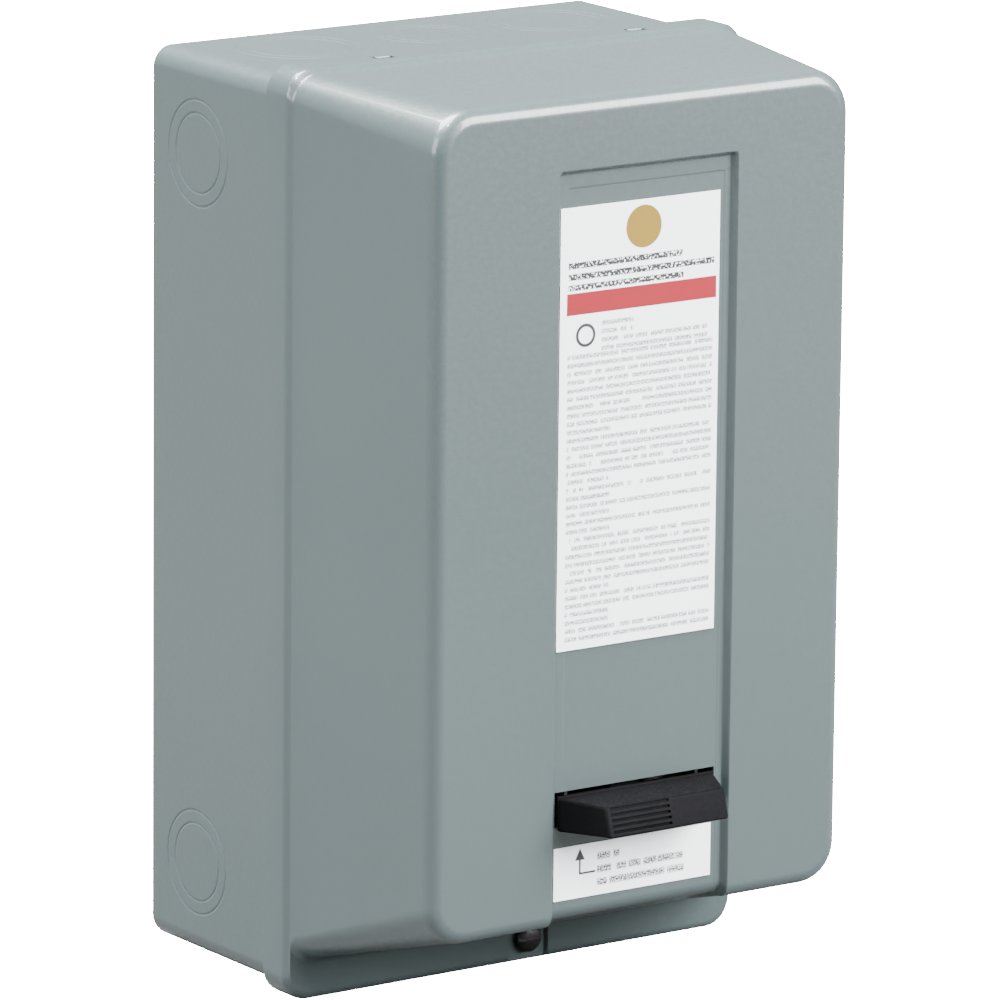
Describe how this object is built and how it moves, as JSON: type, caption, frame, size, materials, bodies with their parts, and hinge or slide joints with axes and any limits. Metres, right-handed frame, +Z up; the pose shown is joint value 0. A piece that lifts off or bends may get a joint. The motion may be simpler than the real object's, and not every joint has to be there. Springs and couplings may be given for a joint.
{
  "type": "magnetic motor starter",
  "caption": "Wall-mounted sheet steel motor starter: hinged cover with a reset lever over a contactor and an overload relay.",
  "frame": {"origin": "centre of the flat back face, which lies on the wall", "axes": "+Z up, +X right seen from the front, the front faces -Y, the wall is on the +Y side"},
  "size_m": [0.152, 0.1472, 0.2605],
  "materials": {
    "grey_enamel": "semi-gloss baked enamel",
    "zinc_plated_steel": "zinc plated",
    "spring_steel": "bright wire",
    "black_plastic": "moulded, satin",
    "contactor_moulding": "phenolic moulding",
    "relay_moulding": "phenolic moulding",
    "core_laminations": "stacked steel laminations",
    "coil_tape": "taped coil",
    "bobbin_nylon": "natural nylon",
    "tinned_copper": "copper alloy strip",
    "brass": "bright brass",
    "label_vinyl": "printed vinyl",
    "red_plastic": "moulded",
    "blackened_steel": "black oxide",
    "green_screw": "green dyed plating",
    "wire_insulation": "PVC insulation"
  },
  "bodies": {
    "enclosure": {"base_box": "grey_enamel", "mounting_plate": "zinc_plated_steel", "ground_lug": "brass", "ground_screw": "green_screw", "contactor_frame": "contactor_moulding", "fixed_core": "core_laminations", "coil_bobbin": "bobbin_nylon", "coil_winding": "coil_tape", "coil_terminal_left": "brass", "coil_terminal_right": "brass", "return_spring": "spring_steel", "contact_block": "contactor_moulding", "arc_cover": "contactor_moulding", "line_terminal_1": "tinned_copper", "line_terminal_2": "tinned_copper", "line_terminal_3": "tinned_copper", "load_terminal_1": "tinned_copper", "load_terminal_2": "tinned_copper", "load_terminal_3": "tinned_copper", "terminal_screw_1": "zinc_plated_steel", "terminal_screw_2": "zinc_plated_steel", "terminal_screw_3": "zinc_plated_steel", "terminal_screw_4": "zinc_plated_steel", "terminal_screw_5": "zinc_plated_steel", "terminal_screw_6": "zinc_plated_steel", "overload_housing": "relay_moulding", "overload_cover": "relay_moulding", "heater_unit_1": "brass", "heater_unit_2": "brass", "heater_unit_3": "brass", "relay_terminal_1": "tinned_copper", "relay_terminal_2": "tinned_copper", "relay_terminal_3": "tinned_copper", "relay_terminal_screw_1": "zinc_plated_steel", "relay_terminal_screw_2": "zinc_plated_steel", "relay_terminal_screw_3": "zinc_plated_steel", "plunger_spring": "spring_steel", "control_terminal_left": "brass", "control_terminal_right": "brass", "control_wire_left": "wire_insulation", "control_wire_right": "wire_insulation"},
    "cover": {"front_cover": "grey_enamel", "cover_screw_washer": "zinc_plated_steel", "instruction_label": "label_vinyl", "reset_label": "label_vinyl", "reset_lever_bracket": "blackened_steel", "reset_lever_pin": "blackened_steel", "reset_lever_spring": "spring_steel"},
    "cover_screw": {"cover_screw": "blackened_steel"},
    "reset_lever": {"reset_lever": "black_plastic"},
    "reset_plunger": {"reset_plunger": "red_plastic"},
    "contact_carrier": {"contact_carrier": "bobbin_nylon", "armature": "core_laminations", "contact_bridge_1": "tinned_copper", "contact_bridge_2": "tinned_copper", "contact_bridge_3": "tinned_copper", "contact_spring_1": "spring_steel", "contact_spring_2": "spring_steel", "contact_spring_3": "spring_steel"}
  },
  "joints": [
    {"name": "cover_hinge", "type": "hinge", "parent": "enclosure", "child": "cover", "pos_m": [0, -0.0618, 0.1305], "axis": [-1, 0, 0], "range_deg": [0, 60]},
    {"name": "cover_screw_turn", "type": "hinge", "parent": "cover", "child": "cover_screw", "pos_m": [0.0052, -0.0725, -0.1228], "axis": [0, -1, 0], "continuous": true},
    {"name": "reset_lever_tilt", "type": "hinge", "parent": "cover", "child": "reset_lever", "pos_m": [0, -0.1254, -0.0695], "axis": [-1, 0, 0], "range_deg": [0, 10], "stiffness_Nm_per_rad": 0.5, "springref_deg": -5.73},
    {"name": "reset_plunger_push", "type": "slide", "parent": "enclosure", "child": "reset_plunger", "axis": [0, 1, 0], "range_m": [0, 0.0053], "deforming": ["plunger_spring"]},
    {"name": "contact_pull_in", "type": "slide", "parent": "enclosure", "child": "contact_carrier", "axis": [0, 1, 0], "range_m": [0, 0.0042], "stiffness_N_per_m": 900, "springref_m": -0.004, "deforming": ["return_spring"]}
  ],
  "couplings": [
    {"joint": "reset_plunger_push", "follows": "reset_lever_tilt", "m_per_rad": 0.0296}
  ]
}
